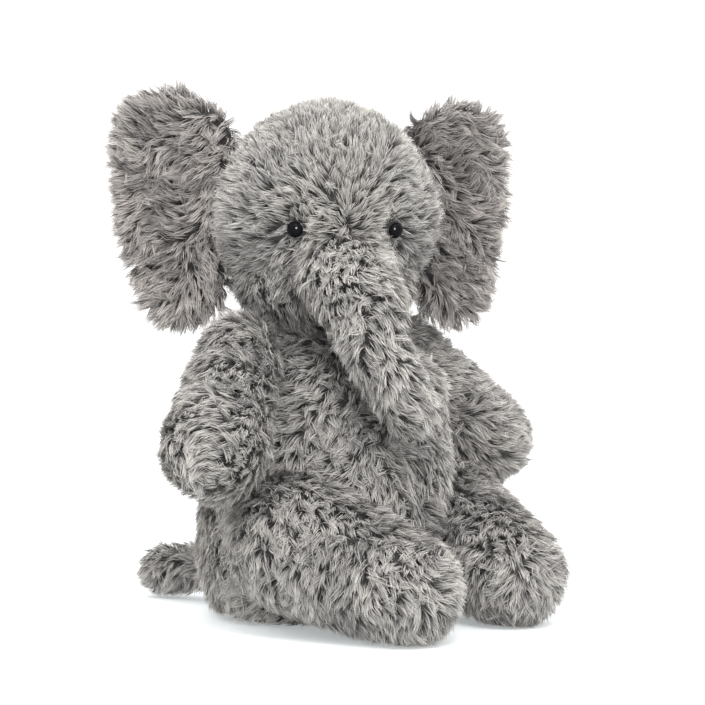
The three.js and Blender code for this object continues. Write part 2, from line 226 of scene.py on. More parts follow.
# ---------- base shapes ----------
def rings(ring_points):
    """Vertices and faces of a closed body from rings of points; its first and last ring are one point."""
    bodies = ring_points[1:-1]
    rows, columns = len(bodies), len(bodies[0])
    verts = [ring_points[0][0], *np.concatenate(bodies), ring_points[-1][0]]
    last = len(verts) - 1
    faces = []
    for c in range(columns):
        d = (c + 1) % columns
        faces.append((0, 1 + d, 1 + c))
        faces.append((last, 1 + (rows - 1) * columns + c, 1 + (rows - 1) * columns + d))
        for r in range(rows - 1):
            a, b = 1 + r * columns, 1 + (r + 1) * columns
            faces.append((a + c, a + d, b + d, b + c))
    return np.array(verts), faces


def tube(centres, radii, columns=36):
    """A closed body round a line of centres; its end radii are 0."""
    tangents = unit(np.gradient(centres, axis=0))
    side = unit(np.cross(tangents[0], [0.3, 0.2, 0.9]))
    made = []
    turn = np.linspace(0, 2 * math.pi, columns, endpoint=False)[:, None]
    for centre, tangent, radius in zip(centres, tangents, radii):
        side = on_surface(side, tangent)
        other = np.cross(tangent, side)
        made.append(centre + radius * (np.cos(turn) * side + np.sin(turn) * other))
    return rings(made)


def capsule_line(start, end, radii, steps=10):
    """Centres and radii along a tapered limb with round ends."""
    length = np.linalg.norm(end - start)
    lean = math.asin((radii[0] - radii[1]) / length)
    back = np.linspace(math.pi, math.pi / 2 - lean, steps)
    front = np.linspace(math.pi / 2 - lean, 0, steps)
    along = np.concatenate([radii[0] * np.cos(back), length + radii[1] * np.cos(front)])
    wide = np.concatenate([radii[0] * np.sin(back), radii[1] * np.sin(front)])
    wide[[0, -1]] = 0
    return start + along[:, None] * unit(end - start), wide


def limb(start, end, radii):
    """A tapered limb, a little inside its solid."""
    return tube(*capsule_line(start, end, [r - SKIN_INSET for r in radii]))


def leg_form(start, foot):
    """A leg from its thigh: a limb drawn in at the top of its ankle."""
    along = foot - start
    verts, faces = limb(start, foot, LEG_RADII)
    share = (verts - start) @ along / (along @ along)
    over = verts - start - share[:, None] * along
    top = np.clip(0.4 + over[:, 2:] / LEG_RADII[1], 0, 1)
    drawn = ANKLE_DEPTH * top * np.exp(-((share - ANKLE) / ANKLE_SIZE) ** 2)[:, None]
    return verts - drawn * unit(over), faces


def spline(points, count):
    """A smooth curve through points, a Catmull-Rom spline."""
    points = np.asarray(points, float)
    padded = np.vstack([2 * points[0] - points[1], points, 2 * points[-1] - points[-2]])
    made = []
    for i in range(len(points) - 1):
        a, b, c, d = padded[i:i + 4]
        for t in np.linspace(0, 1, count, endpoint=False):
            made.append(0.5 * (2 * b + (c - a) * t + (2 * a - 5 * b + 4 * c - d) * t**2
                               + (3 * b - a - 3 * c + d) * t**3))
    return np.array([*made, points[-1]])


def level_circle(steps):
    """Points of a level unit circle."""
    turn = np.linspace(0, 2 * math.pi, steps, endpoint=False)
    return np.stack([np.cos(turn), np.sin(turn), 0 * turn], axis=1)


def torso_surface():
    """A leaning egg on a flat seat, with the fold in the chest."""
    line = spline([(r - SKIN_INSET, SKIN_INSET + z * (1 - 2 * SKIN_INSET / TORSO_HEIGHT))
                   for r, z in TORSO_PROFILE], 5)
    line = np.vstack([[0, SKIN_INSET], [line[0][0] * 0.5, SKIN_INSET], line, [0, TORSO_HEIGHT - SKIN_INSET]])
    lean = -BELLY_FORWARD * np.sin(math.pi * line[:, 1] / TORSO_HEIGHT)
    centres = np.stack([np.zeros(len(line)), lean, line[:, 1]], axis=1)
    circle = level_circle(56)
    made = []
    for centre, radius in zip(centres, line[:, 0]):
        away = np.linalg.norm(centre + radius * circle - FOLD_CENTRE, axis=1)
        fold = FOLD_RISE * np.exp(-((away / FOLD_SIZE) ** 2)) * min(1, radius / 0.03)
        made.append(centre + (radius + fold[:, None]) * circle)
    return rings(made)


def jaw_surface():
    """The heavy jaw under the head, round the neck."""
    circle = level_circle(48)
    line = spline(JAW_PROFILE, 5)
    return rings([NECK * [1, 1, 0] + [0, 0, z] + r * circle for r, z in line])


def head_surface():
    """An ellipsoid, wider at the cheeks."""
    circle = level_circle(48)
    radii = HEAD_RADII - SKIN_INSET
    made = []
    for a in np.linspace(math.pi, 0, 30):
        wide = 1 + CHEEK * math.exp(-((math.cos(a) + 0.3) / 0.5) ** 2)
        ring = np.sin(a) * circle * [wide, 1, 0] + [0, 0, np.cos(a)]
        made.append(HEAD_CENTRE + (ring * radii) @ HEAD_AXES)
    return rings(made)


def trunk_line():
    """The trunk's own line from inside the head to its tip, and its radius."""
    line = spline([*TRUNK_JOINTS, from_head(TRUNK_TIP)], 8)
    share = np.linspace(0, 1, len(line))
    radius = np.interp(share, np.linspace(0, 1, 4), TRUNK_RADII) - TRUNK_INSET
    first, last = unit(line[1] - line[0]), unit(line[-1] - line[-2])
    swing = np.linspace(0, math.pi / 2, 9)
    root = [line[0] - first * radius[0] * math.cos(a) for a in swing[:-1]]
    tip = [line[-1] + last * radius[-1] * math.sin(a) for a in swing[1:]]
    wide = np.concatenate([radius[0] * np.sin(swing[:-1]), radius, radius[-1] * np.cos(swing[1:])])
    wide[[0, -1]] = 0
    return np.vstack([root, line, tip]), wide


def ear_outline():
    """The ear's edge from the front: x out from the root, z up."""
    corners = [
        (-0.006, -0.028), (0.001, -0.0535), (0.025, EAR_BOTTOM - 0.002), (0.048, -0.050),
        (EAR_WIDTH - 0.001, -0.010), (EAR_WIDTH + 0.002, 0.024), (0.059, 0.055), (0.036, EAR_TOP + 0.003),
        (0.008, 0.060), (-0.009, 0.042),
    ]
    steps = 7
    loop = spline([*corners[-2:], *corners, *corners[:2]], steps)
    return loop[2 * steps:(2 + len(corners)) * steps]


def ear_axes(side):
    """The ear's root, and its own axes: outward, backward and up."""
    root = JOINTS["ear_left_fold" if side > 0 else "ear_right_fold"]
    outward = np.array([side * math.cos(EAR_SWEEP), math.sin(EAR_SWEEP), 0]) @ HEAD_AXES
    backward = np.array([-side * math.sin(EAR_SWEEP), math.cos(EAR_SWEEP), 0]) @ HEAD_AXES
    return root, np.array([outward, backward, [0, 0, 1]])


def ear_surface(side):
    """A thin padded lens within the ear's edge, dished towards its front."""
    root, axes = ear_axes(side)
    name = "left" if side > 0 else "right"
    root = root - [0, 0, EAR_HANG[name]]
    edge = ear_outline()
    middle = edge.mean(0)
    shares = np.concatenate([np.linspace(0, 0.9, 10), [0.96, 0.99]])
    made = []
    for face in (-1, 1):
        layer = []
        for share in [*shares, 1.0]:
            flat = middle + (edge - middle) * share * EAR_SHRINK[name]
            thick = face * EAR_THICK * math.sqrt(max(0, 1 - share**3))
            dish = EAR_DISH * (1 - share**2)
            layer.append(np.stack([flat[:, 0], np.full(len(flat), thick + dish), flat[:, 1]], axis=1))
        made += layer if face < 0 else layer[-2::-1]
    verts, faces = rings([root + ring @ axes for ring in made])
    return verts, faces if side < 0 else [f[::-1] for f in faces]


# ---------- meshes ----------
def mesh_object(name, verts, faces):
    mesh = bpy.data.meshes.new(name)
    mesh.from_pydata([tuple(v) for v in verts], [], [tuple(int(i) for i in f) for f in faces])
    mesh.update()
    obj = bpy.data.objects.new(name, mesh)
    bpy.context.scene.collection.objects.link(obj)
    return obj


def add_modifier(obj, kind, **settings):
    modifier = obj.modifiers.new(kind, kind)
    for name, value in settings.items():
        setattr(modifier, name, value)


def bake_modifiers(obj):
    """Applies the object's modifiers as they stand at the current frame."""
    shown = obj.evaluated_get(bpy.context.evaluated_depsgraph_get())
    mesh = bpy.data.meshes.new_from_object(shown)
    obj.modifiers.clear()
    obj.data = mesh


def vertex_values(obj, name):
    values = np.zeros(len(obj.data.vertices) * 3, np.float32)
    obj.data.vertices.foreach_get(name, values)
    return values.reshape(-1, 3).astype(float)


def corners(obj):
    return vertex_values(obj, "co")


def vertex_normals(obj):
    return vertex_values(obj, "normal")


def move_corners(obj, points):
    obj.data.vertices.foreach_set("co", points.astype(np.float32).ravel())
    obj.data.update()


def dress(obj, material):
    """Gives a plain mesh smooth shading and its one material."""
    obj.data.shade_smooth()
    obj.data.materials.clear()
    obj.data.materials.append(material)


def stuffed(name, shape, seam, voxel=0.005, pressure=4.0, frames=20):
    """A cut cloth body, blown up by its filling between seams; seam(points) is the distance to one."""
    obj = mesh_object(name, *shape)
    add_modifier(obj, "REMESH", mode="VOXEL", voxel_size=voxel)
    add_modifier(obj, "SMOOTH", iterations=2)
    bake_modifiers(obj)
    start = corners(obj)
    distance = seam(start)
    pinned = obj.vertex_groups.new(name="seams")
    pinned.add([int(i) for i in np.nonzero(distance < SEAM_WIDTH / 2)[0]], 1.0, "REPLACE")
    cloth = obj.modifiers.new("Cloth", "CLOTH")
    cloth.settings.quality = 4
    cloth.settings.vertex_group_mass = "seams"
    cloth.settings.use_pressure = True
    cloth.settings.uniform_pressure_force = pressure
    cloth.settings.effector_weights.gravity = 0
    cloth.collision_settings.use_collision = False
    for step in range(1, frames + 1):
        bpy.context.scene.frame_set(step)
    bake_modifiers(obj)
    bpy.context.scene.frame_set(1)
    moved = corners(obj) - start
    far = np.linalg.norm(moved, axis=1, keepdims=True)
    swelled = start + moved * np.minimum(1, SWELL / np.maximum(far, 1e-9))
    move_corners(obj, swelled)
    add_modifier(obj, "SUBSURF", levels=1)
    bake_modifiers(obj)
    return obj


class Surface:
    """A body's skin as arrays: points, their normals and triangles."""

    def __init__(self, obj):
        self.points = corners(obj)
        self.normals = vertex_normals(obj)
        obj.data.calc_loop_triangles()
        tris = np.zeros(len(obj.data.loop_triangles) * 3, np.int32)
        obj.data.loop_triangles.foreach_get("vertices", tris)
        self.tris = tris.reshape(-1, 3)
        self.middles = self.points[self.tris].mean(1)
        self.tree = BVHTree.FromPolygons(self.points.tolist(), self.tris.tolist())
        bpy.data.objects.remove(obj)

    def holds(self, points, slack=0.0):
        """True for each point that lies inside, or outside by less than slack."""
        inside = np.zeros(len(points), bool)
        low, high = self.points.min(0) - slack, self.points.max(0) + slack
        near = np.nonzero(((points > low) & (points < high)).all(1))[0]
        for i in near:
            spot, normal, _, distance = self.tree.find_nearest(Vector(points[i]))
            out = (Vector(points[i]) - spot).dot(normal)
            inside[i] = out < 0 or distance < slack
        return inside


# ---------- pile ----------
def closeness(points, beside):
    """1 for a point that touches one of the neighbours, down to 0 at the reach given with that neighbour."""
    close = np.zeros((len(points), 1))
    for neighbour, reach in beside:
        found = [neighbour.tree.find_nearest(Vector(spot), reach)[3] for spot in points]
        far = np.array([reach if distance is None else distance for distance in found])
        close = np.maximum(close, 1 - far[:, None] / reach)
    return close


def pile(surface, chosen, flow, seed, length=PILE_LENGTH, lift=0.62, wander=0.7, density=1.0, avoid=(),
         beside=(), shade=None):
    """Locks of pile on the chosen triangles.

    Gives vertices, triangles, and each vertex's tone and place along its strand. flow(points, normals) is
    the way it is brushed, lift how steeply a lock stands, in radians, wander how far the brushing strays,
    avoid the neighbours that no lock grows inside, beside those that press it and darken it with painted
    shade, and shade(points) the painted light and shade of each place.
    """
    rng = np.random.default_rng(seed)
    tris = surface.tris[chosen]
    a, b, c = (surface.points[tris[:, i]] for i in range(3))
    area = np.linalg.norm(np.cross(b - a, c - a), axis=1) / 2
    cell = CLUMP_GAP * math.sqrt(CELLS_CUT / density)
    tries = int(8 * area.sum() / cell**2)
    pick = np.searchsorted(np.cumsum(area) / area.sum(), rng.random(tries))
    u, v = rng.random((2, tries, 1))
    flip = u + v > 1
    u, v = np.where(flip, 1 - u, u), np.where(flip, 1 - v, v)
    root = a[pick] * (1 - u - v) + b[pick] * u + c[pick] * v
    corner_normals = surface.normals[tris[pick]]
    normal = unit(corner_normals[:, 0] * (1 - u - v) + corner_normals[:, 1] * u + corner_normals[:, 2] * v)
    _, kept = np.unique(np.floor(root / cell).astype(int), axis=0, return_index=True)
    root, normal = root[kept], normal[kept]
    for neighbour, slack in avoid:
        free = ~neighbour.holds(root, slack)
        root, normal = root[free], normal[free]
    count = len(root)
    brushed = flow(root, normal)
    way = on_surface(brushed, normal)
    stray = wander * (waves(root, 0.030, seed + 1) + 0.7 * waves(root, 0.013, seed + 2))
    unruly = rng.random((count, 1)) < UNRULY
    stray = stray + rng.normal(0, 1, (count, 1)) * np.where(unruly, 1.1, 0.25)
    loose = 1 - smooth_step(along_share(brushed, normal), 0, 0.6)
    way = turned(way, normal, stray + 1.6 * loose * rng.normal(0, 1, (count, 1)))
    reach = length(root) if callable(length) else np.full((count, 1), length)
    reach = reach * rng.uniform(0.85, 1.12, (count, 1))
    steep = lift * (1 + 0.12 * waves(root, 0.02, seed + 3)) + rng.normal(0, 0.12, (count, 1))
    tone = 0.5 + 0.15 * waves(root, 0.018, seed + 4) + rng.normal(0, 0.14, (count, 1))
    close = closeness(root, beside)
    reach = reach * (1 - PRESSED * close)
    # Painted shade where a neighbour is close, and the painted light and shade of the place, on each lock's
    # own tone.
    tone = np.clip(tone - PAINTED_CREVICE_SHADE * close + (shade(root) if shade else 0), 0.02, 0.98)
    return strands(root, normal, way, reach, steep, tone, rng)


def strands(root, normal, way, reach, steep, tone, rng):
    """The strands of each lock: they start apart, arch over and meet near the lock's tip."""
    def per_strand(values):
        return np.repeat(values, STRANDS, axis=0)

    root, normal, way, reach, steep, tone = map(per_strand, (root, normal, way, reach, steep, tone))
    count = len(root)
    across = np.cross(normal, way)
    spread = rng.normal(0, 0.42, (count, 2)) * CLUMP_GAP
    offset = spread[:, :1] * way + spread[:, 1:] * across
    reach = reach * rng.uniform(0.8, 1.08, (count, 1))
    lean = unit(way * np.cos(steep) + normal * np.sin(steep))
    start = root + offset - normal * 0.0006
    stray = rng.normal(0, 0.06, (count, 3)) * reach
    end = root + lean * reach + offset * rng.uniform(0.3, 0.9, (count, 1)) + stray
    bend = start + (normal * 1.05 * np.sin(steep) + way * 0.2 * np.cos(steep)) * reach
    twist = rng.normal(0, 0.7, (count, 1))
    points = []
    for t in STRAND_STEPS:
        points.append(start * (1 - t) ** 2 + bend * 2 * t * (1 - t) + end * t * t)
    width = STRAND_WIDTH * rng.uniform(0.7, 1.25, (count, 1))
    flat = unit(turned(unit(np.cross(lean, normal)), lean, twist))
    tone = np.clip(tone + rng.normal(0, 0.2, (count, 1)), 0.01, 0.99)
    verts, chart = [], []
    for point, t, taper in zip(points, STRAND_STEPS, STRAND_TAPER):
        along = np.full((count, 1), ROOT_CHART + (1 - ROOT_CHART) * t)
        for side in (-0.5, 0.5):
            verts.append(point + flat * width * side * taper)
            chart.append(np.hstack([tone + 0.01 * side, along]))
    verts.append(points[-1])
    chart.append(np.hstack([tone, np.full((count, 1), 1.0)]))
    size = len(verts)
    verts = np.stack(verts, axis=1).reshape(-1, 3)
    chart = np.stack(chart, axis=1).reshape(-1, 2)
    one = []
    for step in range(len(STRAND_TAPER) - 1):
        k = 2 * step
        one += [(k, k + 1, k + 3), (k, k + 3, k + 2)]
    one.append((size - 3, size - 2, size - 1))
    tris = (np.arange(count)[:, None, None] * size + np.array(one)[None]).reshape(-1, 3)
    return verts, tris, chart


def plush_object(name, surface, chosen, material, grown):
    """One panel with its pile: the skin's chosen triangles, then the strands, in one mesh."""
    used, tris = np.unique(surface.tris[chosen], return_inverse=True)
    points, strand_tris, chart = grown
    verts = np.vstack([surface.points[used], points])
    faces = np.vstack([tris.reshape(-1, 3), strand_tris + len(used)])
    # The backing cloth sits at the chart's start, where its near-black colour is painted shade under the pile.
    charts = np.vstack([np.tile([0.5, 0.0], (len(used), 1)), chart])
    verts[:, 2] = np.maximum(verts[:, 2], FLOOR_CLEAR)
    mesh = bpy.data.meshes.new(name)
    mesh.vertices.add(len(verts))
    mesh.vertices.foreach_set("co", verts.astype(np.float32).ravel())
    mesh.loops.add(faces.size)
    mesh.loops.foreach_set("vertex_index", faces.astype(np.int32).ravel())
    mesh.polygons.add(len(faces))
    mesh.polygons.foreach_set("loop_start", np.arange(0, faces.size, 3, dtype=np.int32))
    mesh.update(calc_edges=True)
    layer = mesh.uv_layers.new(name="OFBake")
    spots = charts[faces.ravel()] * [1, 0.94] + [0, 0.03]
    layer.data.foreach_set("uv", spots.astype(np.float32).ravel())
    mesh.shade_smooth()
    mesh.materials.append(material)
    obj = bpy.data.objects.new(name, mesh)
    bpy.context.scene.collection.objects.link(obj)
    return obj


# ---------- materials ----------
def new_material(name, roughness):
    material = bpy.data.materials.new(name)
    material.use_nodes = True
    shader = material.node_tree.nodes["Principled BSDF"]
    shader.inputs["Roughness"].default_value = roughness
    return material, material.node_tree, shader


def ramp(tree, stops):
    node = tree.nodes.new("ShaderNodeValToRGB")
    elements = node.color_ramp.elements
    while len(elements) < len(stops):
        elements.new(0.5)
    for element, (at, colour) in zip(elements, stops):
        element.position = at
        element.color = (*colour, 1)
    return node


def plush_material(name, tint=(1.01, 1, 0.985), bright=1.0):
    """Pile: dark at the root and pale at the tip, the dark root partly painted shade deep in the pile; each
    lock a little lighter or darker than the next. bright gives darker copies, which are painted shade.
    """
    material, tree, shader = new_material(name, 0.7)
    shader.inputs["Sheen Weight"].default_value = 0.15
    shader.inputs["Sheen Roughness"].default_value = 0.5
    shader.inputs["Specular IOR Level"].default_value = 0.3
    chart = tree.nodes.new("ShaderNodeUVMap")
    chart.uv_map = "OFBake"
    split = tree.nodes.new("ShaderNodeSeparateXYZ")
    along = ramp(tree, [
        # The dark roots are partly painted shade deep in the pile; at 0 the backing cloth's near-black is
        # painted shade.
        (0.0, (0.034, 0.033, 0.032)), (ROOT_CHART, (0.070, 0.068, 0.066)), (0.35, (0.18, 0.174, 0.168)),
        (0.62, (0.33, 0.319, 0.307)), (0.86, (0.50, 0.483, 0.463)), (1.0, (0.62, 0.60, 0.577)),
    ])
    shade = ramp(tree, [
        (0.0, tuple(0.42 * bright * t for t in tint)),
        (0.2, tuple(0.74 * bright * t for t in (tint[0], tint[1], tint[2] * 1.02))),
        (0.5, tuple(bright * t for t in tint)),
        (1.0, tuple(1.22 * bright * t for t in (tint[0] * 1.01, tint[1], tint[2] * 0.99))),
    ])
    mix = tree.nodes.new("ShaderNodeMix")
    mix.data_type = "RGBA"
    mix.blend_type = "MULTIPLY"
    mix.inputs["Factor"].default_value = 1
    tree.links.new(chart.outputs["UV"], split.inputs[0])
    tree.links.new(split.outputs["Y"], along.inputs["Fac"])
    tree.links.new(split.outputs["X"], shade.inputs["Fac"])
    tree.links.new(along.outputs["Color"], mix.inputs[6])
    tree.links.new(shade.outputs["Color"], mix.inputs[7])
    tree.links.new(mix.outputs[2], shader.inputs["Base Color"])
    return material


def patterned_material(name, stops, scale, roughness, texture="ShaderNodeTexNoise", output=0):
    """A plain material whose colour wanders with a noise or cell pattern."""
    material, tree, shader = new_material(name, roughness)
    place = tree.nodes.new("ShaderNodeTexCoord")
    pattern = tree.nodes.new(texture)
    pattern.inputs["Scale"].default_value = scale
    colour = ramp(tree, stops)
    tree.links.new(place.outputs["Object"], pattern.inputs["Vector"])
    tree.links.new(pattern.outputs[output], colour.inputs["Fac"])
    tree.links.new(colour.outputs["Color"], shader.inputs["Base Color"])
    return material


def eye_material():
    material, _, shader = new_material("eye_gloss", 0.08)
    shader.inputs["Base Color"].default_value = (0.001, 0.001, 0.0012, 1)
    shader.inputs["Specular IOR Level"].default_value = 0.03
    return material


GREY = plush_material("grey_pile")
# The head's, ears' and tail's pile is the body's grey painted a little darker as shade: shaded copies of one
# material, the ears' also a little warmer.
HEAD_PILE_SHADED = plush_material("head_pile_shaded", bright=0.97)
EAR_PILE_SHADED = plush_material("ear_pile", tint=(1.03, 0.985, 0.965), bright=0.90)
TAIL_PILE_SHADED = plush_material("tail_pile_shaded", bright=0.93)
FIBRE = patterned_material(
    "fibre_fill", [(0.3, (0.70, 0.69, 0.66)), (0.7, (0.86, 0.85, 0.82))], 260, 0.9)
PELLETS = patterned_material(
    "pellets", [(0.0, (0.62, 0.59, 0.53)), (1.0, (0.78, 0.75, 0.69))], 300, 0.5,
    "ShaderNodeTexVoronoi", "Color")
POUCH_CLOTH = patterned_material(
    "pouch_cloth", [(0.35, (0.40, 0.38, 0.36)), (0.65, (0.52, 0.50, 0.47))], 900, 0.9)
WASHER_PLASTIC = patterned_material(
    "washer_plastic", [(0.3, (0.72, 0.72, 0.70)), (0.7, (0.80, 0.80, 0.78))], 500, 0.45)
EYE_GLOSS = eye_material()


# ---------- skins ----------
SIDES = {"right": -1, "left": 1}
NO_SEAM = 1.0
SHOULDERS = {s: JOINTS[f"arm_{s}_swing"] for s in SIDES}
HIPS = {s: JOINTS[f"leg_{s}_lift"] for s in SIDES}
THIGHS = {s: HIPS[s] + mirrored(THIGH, SIDES[s]) for s in SIDES}
PAWS = {s: mirrored(PAW, SIDES[s]) - [0, 0, PAW_SAG[s]] for s in SIDES}
FEET = {s: mirrored(FOOT, SIDES[s]) for s in SIDES}
TAIL_ROOT = JOINTS["tail_wag"]


def no_seam(p):
    return np.full(len(p), NO_SEAM)


def torso_seam(p):
    """The side seams, and the seam round the seat."""
    above = np.where(p[:, 2] > SEAT_SEAM_Z, np.abs(p[:, 1] - SIDE_SEAM_Y), NO_SEAM)
    return np.minimum(above, np.abs(p[:, 2] - SEAT_SEAM_Z))


def head_seam(p):
    """The head is sewn along its middle."""
    return np.abs((p - HEAD_CENTRE) @ HEAD_X)


def arm_seam_side(side):
    """The way that an arm's outer panel faces."""
    along = PAWS[side] - SHOULDERS[side]
    return unit(np.cross(along, [0, 1, 0]) * SIDES[side])


def arm_seam(side):
    """An arm is sewn along the edge between its outer and inner panel."""
    facing = arm_seam_side(side)
    return lambda p: np.abs((p - SHOULDERS[side]) @ facing)


def sole_seam(side):
    """A leg is sewn round its sole."""
    return lambda p: np.abs(sole_depth(p, side))


def arm_form(side, sign):
    start = SHOULDERS[side] + [-sign * ARM_START["in"], 0, ARM_START["up"]]
    return limb(start, PAWS[side], ARM_RADII)


def ankle_place(points, side):
    """How far along the leg each point lies: 0 at the middle of the thigh, 1 at the middle of the foot."""
    along = FEET[side] - THIGHS[side]
    return (points - THIGHS[side]) @ along / (along @ along)


def sole_depth(points, side):
    """How far each point lies beyond the rim of the sole panel."""
    along = unit(FEET[side] - HIPS[side])
    return (points - FEET[side]) @ along - (LEG_RADII[1] - SOLE_DEPTH)


TORSO = Surface(stuffed("torso_skin", torso_surface(), torso_seam))
HEAD = Surface(stuffed("head_skin", head_surface(), head_seam))
JAW = Surface(stuffed("jaw_form", jaw_surface(), no_seam, 0.004))
TRUNK = Surface(stuffed("trunk_skin", tube(*trunk_line()), no_seam, 0.004))
TAIL = Surface(stuffed("tail_skin_form", limb(TAIL_ROOT, TAIL_TIP, TAIL_RADII), no_seam, 0.003))
ARMS, LEGS, EARS = {}, {}, {}
for side, sign in SIDES.items():
    ARMS[side] = Surface(stuffed(f"arm_{side}_form", arm_form(side, sign), arm_seam(side), 0.004))
    leg = leg_form(THIGHS[side], FEET[side])
    LEGS[side] = Surface(stuffed(f"leg_{side}_form", leg, sole_seam(side), 0.004))
    EARS[side] = Surface(stuffed(f"ear_{side}_form", ear_surface(sign), no_seam, 0.003))


# ---------- the way the pile is brushed, how long it is, and its painted light and shade ---
TRUNK_ROOT = TRUNK_JOINTS[0]
WHORL = from_head([0, -0.052, 0.046])  # the pile on the face fans out from here


def head_flow(p, n):
    """Out from the whorl, and away from the eyes."""
    flow = on_surface(p - WHORL, n) + np.array([0, 0, 0.15])
    for sign in SIDES.values():
        centre, _ = eye_place(sign)
        near = 1 - smooth_step(far_from(p, centre), EYE_RADIUS, 0.016)
        flow = flow + 1.3 * near * unit(p - centre)
    return flow


def jaw_flow(p, n):
    """Down and out from the middle of the head."""
    return on_surface(p - NECK * [1, 1, 0] - [0, 0, 0.25], n)


def torso_flow(p, n):
    """Down, and away from the middle of the front and back; under the seat, outward."""
    centre = np.array([0, -0.004, 0])
    round_ = np.cross(UP, unit((p - centre) * [1, 1, 0]))
    away = np.sign(p[:, :1]) * np.where(p[:, 1:2] < 0, 1, -1)
    fan = np.abs(p[:, :1]) / 0.06
    flow = -UP + 0.8 * away * round_ * np.clip(fan, 0, 1)
    seat = p[:, 2:3] < SEAT_SEAM_Z
    return np.where(seat, p * [1, 1, 0], flow)


def parted(axis, radial, ridge, fan):
    """The way round a limb, away from the line along it where ridge points."""
    round_ = np.cross(axis, radial)
    away = -np.sign(dot(round_, ridge))
    return fan * away * round_ * np.sqrt(np.clip(1 - dot(radial, ridge) ** 2, 0, 1))


def limb_flow(start, end, ridge, along=1.0, fan=0.8):
    """Brushed along a limb, and away from the line where ridge meets it."""
    axis = unit(end - start)
    top = on_surface(ridge, axis)
    return lambda p, n: along * axis + parted(axis, on_surface(p - start, axis), top, fan)


def fan_flow(centre, drop=0.0):
    """Brushed out from a point, with some fall."""
    return lambda p, n: unit(p - centre) - drop * UP


def on_trunk(p):
    """The trunk's line, and which of its points is the nearest to each point."""
    line, _ = trunk_line()
    return line, np.argmin(np.linalg.norm(p[:, None] - line[None], axis=2), axis=1)


def trunk_flow(p, n):
    """Down the trunk, and away from the line along its front."""
    line, nearest = on_trunk(p)
    axis = unit(np.gradient(line, axis=0))[nearest]
    front = on_surface(np.tile(-HEAD_Y + [0, 0, 0.4], (len(p), 1)), axis)
    return axis + parted(axis, on_surface(p - line[nearest], axis), front, 0.3)


def trunk_length(p):
    """The pile of the trunk is pressed on its left side."""
    line, nearest = on_trunk(p)
    left = (unit(p - line[nearest]) @ HEAD_X)[:, None]
    low = smooth_step(TRUNK_ROOT[2] - p[:, 2:3], 0.015, 0.035)
    return PILE_LENGTH - 0.004 * low * np.clip(left, 0, 1)


def trunk_shade(p):
    """The root of the trunk stands out, and painted light makes it paler."""
    return PAINTED_LIGHT_AND_SHADE["trunk root"] * (1 - smooth_step(far_from(p, TRUNK_ROOT), 0.022, 0.048))


def eye_distance(p):
    """How far each point is from the nearer eye's middle."""
    return np.min([far_from(p, eye_place(s)[0]) for s in SIDES.values()], axis=0)


def head_length(p):
    """The pile is short on the face and crown, and shorter still round the eyes."""
    chin = smooth_step(HEAD_CENTRE[2] - p[:, 2:3], 0.01, 0.05)
    bridge = 1 - smooth_step(far_from(p, WHORL), 0.006, 0.022)
    cheek = smooth_step(np.abs((p - HEAD_CENTRE) @ HEAD_X)[:, None], 0.034, 0.050)
    cheek = cheek * smooth_step(HEAD_CENTRE[2] - p[:, 2:3], -0.030, 0.005)
    length = 0.0094 + 0.002 * chin + 0.0025 * bridge + 0.0032 * cheek
    return length * (0.4 + 0.6 * smooth_step(eye_distance(p), EYE_RADIUS, 0.013))


def torso_shade(p):
    """Painted light on the fold and low on the body, and painted shade in the lap and below the chin and the
    trunk.
    """
    fold = np.exp(-(far_from(p - FOLD_CENTRE, FOLD_PAINTED_LIGHT) / FOLD_SIZE) ** 2)
    chin = smooth_step(p[:, 2:3], 0.125, 0.160)
    low = 1 - smooth_step(p[:, 2:3], 0.060, 0.090)
    below_tip = np.exp(-(far_from(p, TIP_SHADOW) / 0.015) ** 2)
    lap = (1 - smooth_step(p[:, 2:3], 0.052, 0.082)) * (1 - smooth_step(np.abs(p[:, :1]), 0.025, 0.045))
    tone = PAINTED_LIGHT_AND_SHADE["fold"] * fold + PAINTED_LIGHT_AND_SHADE["under chin"] * chin * (1 - fold) + PAINTED_LIGHT_AND_SHADE["low"] * low
    return tone + PAINTED_LIGHT_AND_SHADE["below trunk"] * below_tip + PAINTED_LIGHT_AND_SHADE["lap"] * lap


def arm_shade(p):
    """Painted light on the paws, which makes them paler than the upper arms."""
    return PAINTED_LIGHT_AND_SHADE["paw"] * (1 - smooth_step(p[:, 2:3], 0.095, 0.120))


def face_shade(p):
    """Painted light on the bridge round the whorl; the lower cheeks and the chin lie in the head's own shade,
    and their pile is painted a little darker.
    """
    bridge = 1 - smooth_step(far_from(p, WHORL), 0.018, 0.042)
    low = smooth_step(HEAD_CENTRE[2] - p[:, 2:3], -0.010, 0.025)
    return PAINTED_LIGHT_AND_SHADE["bridge"] * bridge + PAINTED_LIGHT_AND_SHADE["cheeks"] * (1 - bridge) * low


def jaw_shade(p):
    """Painted shade on the pile under the jaw, darker towards the chest."""
    return PAINTED_LIGHT_AND_SHADE["jaw"] + PAINTED_LIGHT_AND_SHADE["jaw's bottom"] * smooth_step(JAW_MIDDLE - p[:, 2:3], 0.002, 0.022)


def ear_flow(sign):
    """Out from the ear's root, turned in behind the cheek, with some fall near the head."""
    root, axes = ear_axes(sign)

    def flow(p, n):
        out = ((p - root) @ axes.T)[:, :1]
        fan = fan_flow(root + np.array([-0.03, 0.0, 0.012]) @ axes, 0.15)(p, n)
        turned_in = 1 - smooth_step(out, -0.012, 0.002)
        fall = 0.7 * (1 - smooth_step(out, 0.004, 0.030))
        return fan * (1 - turned_in) - axes[0] * turned_in - fall * axes[2]

    return flow


